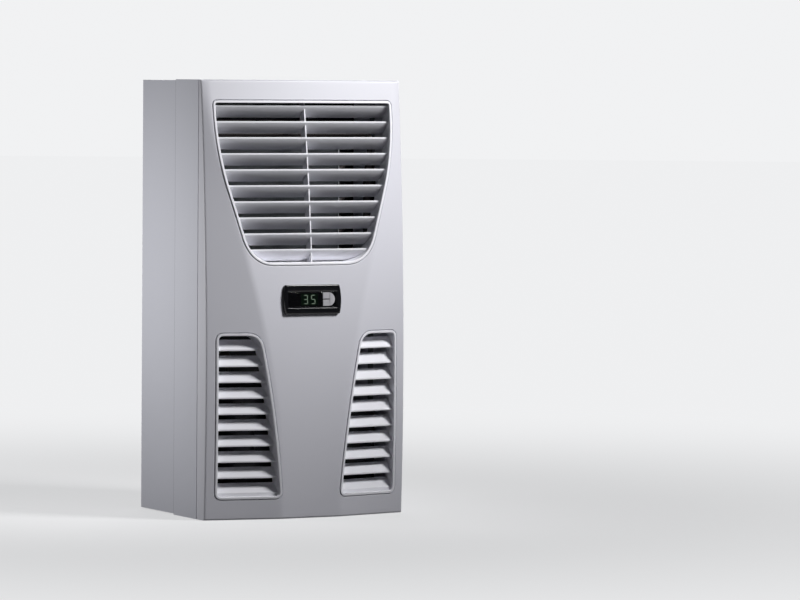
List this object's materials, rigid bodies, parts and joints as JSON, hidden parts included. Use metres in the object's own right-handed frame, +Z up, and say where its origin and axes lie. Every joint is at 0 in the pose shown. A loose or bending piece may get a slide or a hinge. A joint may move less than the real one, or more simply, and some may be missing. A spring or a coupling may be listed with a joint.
{
  "type": "enclosure cooling unit",
  "caption": "Wall-mounted cooling unit for an electrical enclosure, with louvred front grilles, a small display with keys, fans, coils and a compressor.",
  "frame": {"origin": "centre of the four threaded mounting inserts, on the rear mounting face", "axes": "+Y points backwards out of the mounting face towards the enclosure, +Z up along the height, +X to the right seen from the front"},
  "size_m": [0.28, 0.2102, 0.55],
  "materials": {
    "housing": "satin light grey paint",
    "grille": "light grey moulded plastic",
    "bezel": "light grey moulded plastic",
    "foam": "black foam rubber",
    "zinc": "zinc plated steel",
    "black_wire": "black painted wire",
    "black_rubber": "black rubber",
    "window": "smoked glossy plastic",
    "black_plastic": "black moulded plastic",
    "digits": "green lit segments",
    "board": "green circuit board",
    "keys": "grey soft keys",
    "fins": "bare aluminium fins",
    "copper": "copper tube, dulled",
    "black_paint": "black paint",
    "connector": "green connector body"
  },
  "bodies": {
    "housing": {"rear_housing": "housing", "rear_gasket": "foam", "mounting_inserts": "zinc", "inlet_guard": "black_wire", "partition": "zinc", "hood": "housing", "hood_screws": "zinc", "front_cover": "housing", "cover_studs": "zinc", "stud_sockets": "black_rubber", "upper_grille": "grille", "lower_left_grille": "grille", "lower_right_grille": "grille", "display_bezel": "bezel", "display_window": "window", "display_module": "black_plastic", "display_digits": "digits", "display_board": "board", "condenser_shroud": "zinc", "condenser_fins": "fins", "condenser_tubes": "copper", "condenser_bends": "copper", "condenser_strap": "zinc", "fan_standoffs": "zinc", "fan_frame": "black_plastic", "fan_motor": "zinc", "evaporator_plates": "zinc", "evaporator_fins": "fins", "evaporator_tubes": "copper", "evaporator_bends": "copper", "blower_motor": "zinc", "condensate_tray": "black_plastic", "drain_spout": "black_plastic", "base_plate": "zinc", "compressor": "black_paint", "compressor_mounts": "black_rubber", "compressor_bolts": "zinc", "compressor_cap": "black_plastic", "discharge_pipe": "copper", "suction_pipe": "copper", "liquid_pipe": "copper", "filter_drier": "copper", "capillary_tube": "copper", "control_box": "zinc", "control_lid": "zinc", "terminal_block": "connector"},
    "condenser_fan": {"fan_rotor": "black_plastic"},
    "evaporator_fan": {"blower_wheel": "black_plastic"},
    "up_key": {"key_up": "keys"},
    "down_key": {"key_down": "keys"},
    "set_key": {"key_set": "keys"}
  },
  "joints": [
    {"name": "condenser_fan_spin", "type": "hinge", "parent": "housing", "child": "condenser_fan", "pos_m": [-0.027, -0.083, 0.111], "axis": [0, -1, 0], "continuous": true},
    {"name": "evaporator_fan_spin", "type": "hinge", "parent": "housing", "child": "evaporator_fan", "pos_m": [0, -0.035, 0.165], "axis": [0, -1, 0], "continuous": true},
    {"name": "key_up_press", "type": "slide", "parent": "housing", "child": "up_key", "axis": [0, 0.998, -0.0629], "range_m": [0, 0.0008], "stiffness_N_per_m": 400},
    {"name": "key_down_press", "type": "slide", "parent": "housing", "child": "down_key", "axis": [0, 0.998, -0.0629], "range_m": [0, 0.0008], "stiffness_N_per_m": 400},
    {"name": "key_set_press", "type": "slide", "parent": "housing", "child": "set_key", "axis": [0, 0.998, -0.0629], "range_m": [0, 0.0008], "stiffness_N_per_m": 400}
  ]
}
